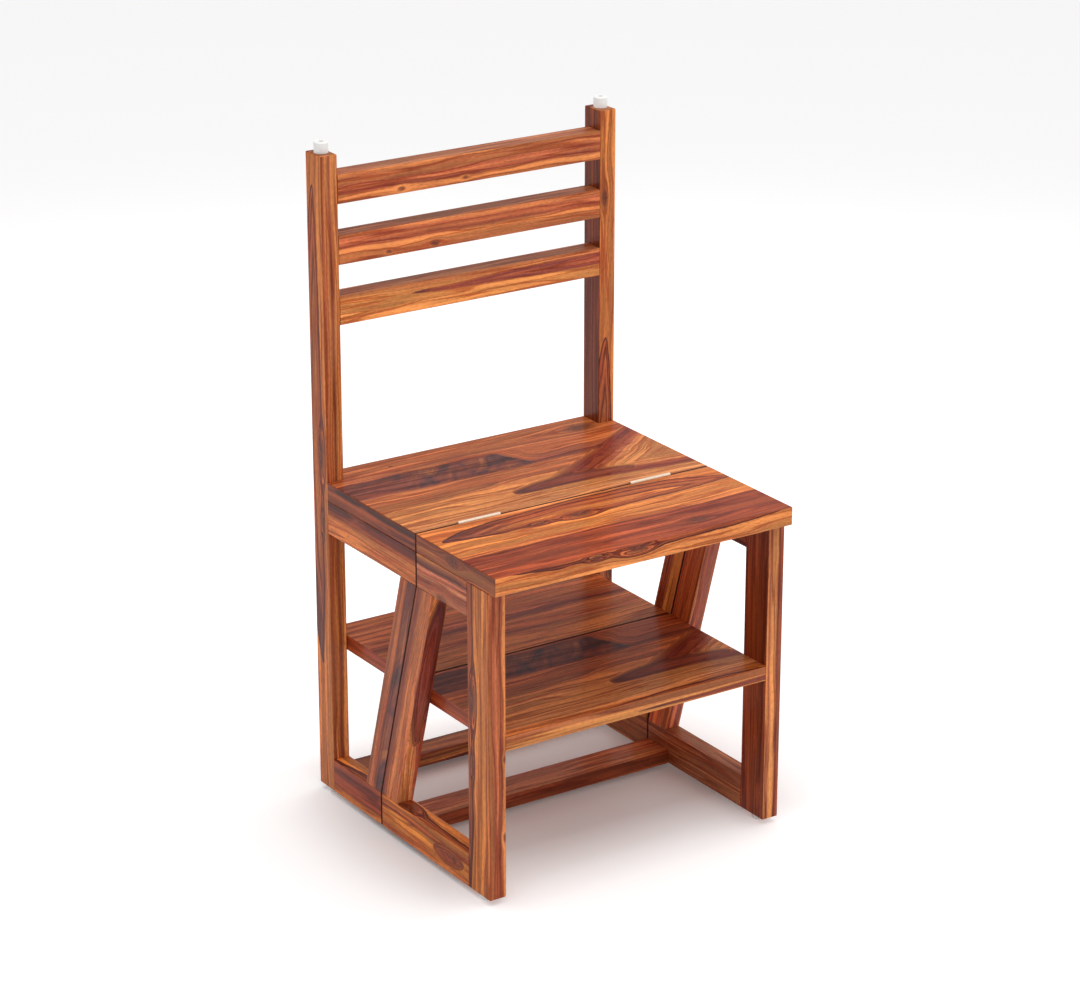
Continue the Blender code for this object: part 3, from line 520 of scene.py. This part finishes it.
# seat
seatRearBoard = {
    "z": (("x", 1, -229, 0), ("y", -1, 224, 0), 0.92),
    "y": (("x", 1, -229, 0), ("z", -2.4, 456.5, 300)),
    "x": (("y", -1, 224, 120), ("z", -1, 456.5, 1000), 0.93),
}
seatFrontBoard = {
    "z": (("x", 1, -229, 0), ("y", -1, -37, 261), 1.04),
    "y": (("x", 1, -229, 0), ("z", -1.3, 456.5, 312)),
    "x": (("y", -1, -125, 75), ("z", -1, 456.5, 1030), 0.93),
}
for board, faces in (("rear_seat_board", seatRearBoard), ("front_seat_board", seatFrontBoard)):
    dress(board, woodMaterial(board, faces, joint=splitAt["seat"]))
print("seat dressed")

# step boards: the front board's top and front are toned darker, as painted shade from the seat above
stepFrontBoard = {
    "z": (("x", 1, -204, -24), ("y", -1, 13.9, 54), 0.88),
    "y": (("x", 0.53, -3, 107), ("z", -1.5, 232.5, 641), 0.83),
    "x": (("y", -1, 0, 100), ("z", -1.6, 232.5, 380)),
}
stepRearBoard = {
    "z": (("x", 1, -204, 560), ("y", -1, 224, 12), 1.03),
    "y": (("x", 1, -204, 30), ("z", -1.8, 232.5, 380)),
    "x": (("y", -1, 0, 100), ("z", -1.6, 232.5, 380)),
}
for board, faces in (("front_step_board", stepFrontBoard), ("rear_step_board", stepRearBoard)):
    dress(board, woodMaterial(board, faces, joint=splitAt["step"]))
print("step dressed")

# slats of the back
slatFaces = {
    "back_slat_top": {
        "y": (("x", 1, -204, 0), ("z", -1, 872, 601), 1.05),
        "z": (("x", 1, -204, 90), ("y", -1, 216, 894)),
        "x": (("y", 1, 200, 200), ("z", -1, 852, 400)),
    },
    "back_slat_middle": {
        "y": (("x", 1, -204, 300), ("z", -1, 790.5, 610), 1.2),
        "z": (("x", 1, -204, 20), ("y", -1, 216, 890)),
        "x": (("y", 1, 200, 200), ("z", -1, 770, 400)),
    },
    "back_slat_bottom": {
        "y": (("x", 1, -204, 0), ("z", -1, 709, 650), 1.22),
        "z": (("x", 1, -204, 60), ("y", -1, 216, 900)),
        "x": (("y", 1, 200, 200), ("z", -1, 690, 400)),
    },
}
for slat, faces in slatFaces.items():
    dress(slat, woodMaterial(slat, faces))
print("back dressed")

# posts and legs: grain upright
uprightFaces = {
    # the back posts' tops are toned 0.6: partly darker timber, partly painted shade round the glides on them
    "rear_post_left": {
        "x": (("z", 0.676, 491, 214), ("y", -1.3, 224, 287), 0.82),
        "y": (("z", 0.6, 8, 0), ("x", 1, -229, 702), 1.06),
        "z": (("x", 1, -229, 0), ("y", 1, 224, 380), 0.6),
    },
    "rear_post_right": {
        # its x faces show the dark strips near 816: partly dark heartwood, partly painted shade on the inner
        # face
        "x": (("z", 0.6, 8, 0), ("y", -1.2, 224, 816)),
        "y": (("z", 0.9, 575, 458), ("x", 1.3, 204, 292), 0.86),
        "z": (("x", 1, -229, 0), ("y", 1, 224, 380), 0.6),
    },
    "front_leg_left": {
        "x": (("z", 0.71, 185, 151), ("y", -1.25, -158, 305), 0.8),
        "y": (("z", 0.9, 8, 20), ("x", 1, -229, 610), 0.85),
        "z": (("x", 1, -229, 0), ("y", 1, 224, 380)),
    },
    "front_leg_right": {
        "x": (("z", 0.6, 8, 0), ("y", -1.2, -158, 812), 1.3),
        # its x faces show the dark strips near 812: partly dark heartwood, partly painted shade on the inner
        # face
        "y": (("z", 0.9, 8, 0), ("x", 1.2, 204, 710)),
        "z": (("x", 1, -229, 0), ("y", 1, 224, 380)),
    },
}
for upright, faces in uprightFaces.items():
    dress(upright, woodMaterial(upright, faces, timberAxis="z"))
print("uprights dressed")

# side rails and aprons: grain from back to front
railFaces = {
    "rear_apron_left": {
        "x": (("y", -1, 186, 30), ("z", -1, 431.2, 1060)),
        "z": (("y", -1, 186, 30), ("x", 1, -229, 370)),
    },
    "front_apron_left": {
        "x": (("y", -1, -97, 60), ("z", -1, 431.2, 1120)),
        "z": (("y", -1, 186, 30), ("x", 1, -229, 370)),
    },
    "rear_floor_rail_left": {
        "x": (("y", -1, 186, 240), ("z", -1, 55, 1240), 1.18),
        "z": (("y", -1, 186, 30), ("x", 1, -229, 310)),
    },
    "front_floor_rail_left": {
        "x": (("y", -1, 60, 10), ("z", -1, 55, 1180), 1.27),
        "z": (("y", -1, 186, 30), ("x", 1, -229, 310)),
    },
    "rear_apron_right": {
        "x": (("y", -0.9, 186, 30), ("z", -1.2, 431.2, 815)),
        "z": (("y", -1, 186, 30), ("x", 1, 204, 370)),
    },
    "front_apron_right": {
        "x": (("y", -1, -80, 300), ("z", -1.2, 431.2, 815)),
        "z": (("y", -1, 186, 30), ("x", 1, 204, 370)),
    },
    "rear_floor_rail_right": {
        "x": (("y", -1, 186, 60), ("z", -1.3, 55, 880)),
        "z": (("y", -1, 186, 30), ("x", 1.4, 204, 890)),
    },
    "front_floor_rail_right": {
        "x": (("y", -1, 186, 60), ("z", -1.3, 55, 880)),
        "z": (("y", -1, 186, 30), ("x", 1.4, 204, 890)),
    },
}
for rail, faces in railFaces.items():
    faces["y"] = (("x", 1, 200, 100), ("z", -1, 400, 400))
    joint = splitAt["seat"] if "apron" in rail else splitAt["floor"]
    dress(rail, woodMaterial(rail, faces, timberAxis="y", joint=joint))
print("rails dressed")

# slanted posts: their frame is tipped so that z runs along the timber
slantRun, slantRise = 97.0, 329.2                # how far the split leans, mm
slantTop = 384.2                                 # the height at which it starts to lean
slant = math.atan2(slantRun, slantRise)
slantJoint = splitAt["seat"] * math.cos(slant) + slantTop * math.sin(slant)   # the split, in that frame
braceFaces = {
    "rear_brace_left": {
        "x": (("z", -0.45, 379, 90), ("y", -1, 73, 82), 0.93),
        "y": (("z", 1, 200, 700), ("x", 1, -229, 132)),
    },
    "front_brace_left": {
        "x": (("z", -1, 379, 560), ("y", -1, 35, 150), 0.95),
        "y": (("z", -0.8, 379, 188), ("x", 1, -229, 192), 1.0),
    },
    "rear_brace_right": {
        "x": (("z", 1, 200, 380), ("y", -1.3, 73, 702), 0.95),
        "y": (("z", 1, 200, 100), ("x", 1.4, 204, 890)),
    },
    "front_brace_right": {
        "x": (("z", 1, 200, 380), ("y", -1.3, 35, 804), 1.0),
        "y": (("z", -1, 379, 40), ("x", 1, 204, 727), 1.3),
    },
}
for brace, faces in braceFaces.items():
    faces["z"] = (("x", 1, 200, 100), ("y", -1, 0, 400))
    dress(brace, woodMaterial(brace, faces, turn=-slant, timberAxis="z", joint=slantJoint))
print("slanted posts dressed")

# stretchers: the front one's top is toned 1.37, partly lighter timber, partly painted light under the step
stretcherFaces = {
    "front_stretcher": {
        "z": (("x", 1, -204, 40), ("y", -1, 59, 890), 1.37),
        "y": (("x", 1, -204, 120), ("z", -1.2, 28, 816), 1.14),
        "x": (("y", 1, 200, 200), ("z", -1, 20, 400)),
    },
    "rear_stretcher": {
        "z": (("x", 1, -204, 600), ("y", -1, 224, 118), 0.57),
        "y": (("x", 1, -204, 0), ("z", -1.5, 28, 705), 0.82),
        "x": (("y", 1, 200, 200), ("z", -1, 20, 400)),
    },
}
for stretcher, faces in stretcherFaces.items():
    dress(stretcher, woodMaterial(stretcher, faces))
print("stretchers dressed")

# nylon glides, moulded: milky white with a soft gloss and the mould's fine grain (in mm)
nylon = {"colour": "#FAFAF8", "shade": (0.96, 1.0), "roughness": 0.42, "ior": 1.53,
         "grainSize": 0.4, "grainDepth": 0.2, "relief": 0.08}


def nylonMaterial():
    material, tree, shader = newMaterial("mouldedWhiteNylon")
    where = addNode(tree, "TexCoord").outputs["Object"]
    size = nylon["grainSize"] * mm
    grain = noiseNode(tree, where, size, size, 2.0)
    bump = addNode(tree, "Bump", {"Height": grain, "Strength": nylon["relief"],
                                  "Distance": nylon["grainDepth"] * mm})
    shade = rangeNode(tree, grain, (0.3, 0.7), nylon["shade"], ease="LINEAR")
    colour = scaleNode(tree, linearColour(nylon["colour"])[:3], shade)
    feed(tree, shader, {"Base Color": colour, "Normal": bump, "Roughness": nylon["roughness"],
                        "IOR": nylon["ior"]})
    return material


# nickel-plated steel, rolled: a white metal, bright but no mirror, with fine rolling lines (in mm). Its warm
# tint is partly the plating's own colour, partly a painted reflection of the timber round it
nickel = {"colour": "#F4E1CB", "roughness": (0.36, 0.50),
          "lineLength": 50, "lineWidth": 0.25, "lineDepth": 0.1, "relief": 0.1}


def nickelMaterial():
    material, tree, shader = newMaterial("nickelPlatedSteel")
    where = addNode(tree, "TexCoord").outputs["Object"]
    lines = noiseNode(tree, where, nickel["lineLength"] * mm, nickel["lineWidth"] * mm, 2.0)
    rough = rangeNode(tree, lines, (0.3, 0.7), nickel["roughness"], ease="LINEAR")
    bump = addNode(tree, "Bump", {"Height": lines, "Strength": nickel["relief"],
                                  "Distance": nickel["lineDepth"] * mm})
    feed(tree, shader, {"Base Color": linearColour(nickel["colour"]), "Metallic": 1.0,
                        "Roughness": rough, "Normal": bump})
    return material


whiteNylon = nylonMaterial()
nickelSteel = nickelMaterial()
for name in nodes:
    if "nail" in name or name.startswith("hinge"):
        dress(name, nickelSteel)
    elif "glide" in name:
        dress(name, whiteNylon)
print("hardware dressed")

# floor, light and camera
room = {
    "floorColour": "#F6F5F5", "floorSize": 40.0,
    # painted light: the paper's added white glow, seen by camera, gloss and glass rays, weak under the chair
    # so that its shadow stays dark there, and stronger beside it, in front of and behind it; and the metres
    # over which it grows
    "liftUnder": 0.05, "liftBeside": 0.28, "liftGrows": (0.20, 0.38),
    "liftFront": 0.38, "frontGrows": (-0.08, -0.245), "liftBack": 0.40, "backGrows": (0.20, 0.34),
    "paperFades": (1.3, 3.6), "liftFar": 0.15,   # metres from the chair where the white goes to pale grey
    "overhead": 20.0, "overheadHeight": 3.2, "overheadSize": 2.0,
    # the room's brightness by height: 0 is the horizon and 1 straight up, on the open side and at the back
    "openSide": [(0.0, 0.93), (0.5, 0.95), (1.0, 1.0)],
    "backSide": [(0.0, 0.93), (0.13, 0.75), (0.22, 0.22), (0.48, 0.18), (0.66, 0.85), (1.0, 1.0)],
    "openTowards": (0.80, -0.60), "sideBlend": 0.35,     # where the open side lies, and how softly it ends
}

floorMesh = bmesh.new()
bmesh.ops.create_grid(floorMesh, x_segments=1, y_segments=1, size=room["floorSize"] / 2)
floorData = bpy.data.meshes.new("floor")
floorMesh.to_mesh(floorData)
floorMesh.free()
floor = bpy.data.objects.new("floor", floorData)
bpy.context.scene.collection.objects.link(floor)


def paperMaterial():
    # matt paper, uncoated: a plain diffuse white that keeps the chair's shadow, with a painted white glow on
    # top that camera, gloss and glass rays see
    material, tree, shader = newMaterial("mattPaper")
    rays = addNode(tree, "LightPath").outputs
    seen = rays["Is Camera Ray"]
    for kind in ("Is Glossy Ray", "Is Transmission Ray"):
        seen = mathNode(tree, "MAXIMUM", seen, rays[kind])
    spot = addNode(tree, "TexCoord").outputs["Object"]
    spot = addNode(tree, "SeparateXYZ", {0: spot}).outputs
    flat = addNode(tree, "CombineXYZ", {0: spot["X"], 1: spot["Y"]})
    fromChair = vectorNode(tree, "LENGTH", flat).outputs["Value"]
    # painted light: the glow is weak under the chair and grows away from it
    near = rangeNode(tree, fromChair, room["liftGrows"], (room["liftUnder"], room["liftBeside"]))
    for grows, most in (("frontGrows", "liftFront"), ("backGrows", "liftBack")):
        lifts = (room["liftUnder"], room[most])
        towards = rangeNode(tree, spot["Y"], room[grows], lifts, ease="LINEAR")
        near = mathNode(tree, "MAXIMUM", near, towards)
    far = rangeNode(tree, fromChair, room["paperFades"])
    lift = mixNode(tree, far, near, room["liftFar"], "FLOAT")
    lift = mathNode(tree, "MULTIPLY", lift, seen)
    feed(tree, shader, {"Base Color": linearColour(room["floorColour"]), "Roughness": 0.9,
                        "Specular IOR Level": 0.0, "Emission Color": linearColour("#FFFFFF"),
                        "Emission Strength": lift})
    return material


floorData.materials.append(paperMaterial())

# a room that is bright overhead and on the open side, with a dark gap behind, so that the boards' tops
# keep their colour at a low angle
world = bpy.data.worlds.new("room")
bpy.context.scene.world = world
world.use_nodes = True
sky = world.node_tree
sky.nodes.clear()
direction = addNode(sky, "TexCoord").outputs["Generated"]
height = addNode(sky, "SeparateXYZ", {0: direction}).outputs["Z"]
facing = vectorNode(sky, "DOT_PRODUCT", direction, (*room["openTowards"], 0.0)).outputs["Value"]
facing = rangeNode(sky, facing, (-room["sideBlend"], room["sideBlend"]))
sides = {}
for side in ("backSide", "openSide"):
    level = addNode(sky, "FloatCurve", {"Value": height})
    curve = level.mapping.curves[0]
    for place, value in room[side][1:-1]:
        curve.points.new(place, value)
    curve.points[0].location = room[side][0]
    curve.points[-1].location = room[side][-1]
    level.mapping.update()
    sides[side] = level
level = mixNode(sky, facing, sides["backSide"], sides["openSide"], "FLOAT")
glow = addNode(sky, "Background", {0: linearColour("#FFFFFF"), 1: level})
addNode(sky, "OutputWorld", {"Surface": glow})

overheadData = bpy.data.lights.new("overhead", "AREA")
overheadData.size = room["overheadSize"]
overheadData.energy = room["overhead"]
overhead = bpy.data.objects.new("overhead", overheadData)
overhead.location = (0.0, 0.0, room["overheadHeight"])
bpy.context.scene.collection.objects.link(overhead)

# the photograph's camera: degrees, metres and mm
view = {"azimuth": -33.37, "elevation": 20.53, "distance": 4.5484, "target": (-0.0219, -0.0096, 0.4507),
        "lens": 116.03, "sensor": 36.0}
turned = math.radians(view["azimuth"])
raised = math.radians(view["elevation"])
flatShare = math.cos(raised)
outwards = Vector((math.sin(turned) * flatShare, -math.cos(turned) * flatShare, math.sin(raised)))
cameraData = bpy.data.cameras.new("camera")
cameraData.lens = view["lens"]
cameraData.sensor_width = view["sensor"]
cameraData.sensor_fit = "HORIZONTAL"
camera = bpy.data.objects.new("camera", cameraData)
camera.location = Vector(view["target"]) + outwards * view["distance"]
camera.rotation_euler = (math.radians(90) - raised, 0.0, turned)
bpy.context.scene.collection.objects.link(camera)
bpy.context.scene.camera = camera
bpy.context.scene.view_settings.view_transform = "Standard"
print("stage set")
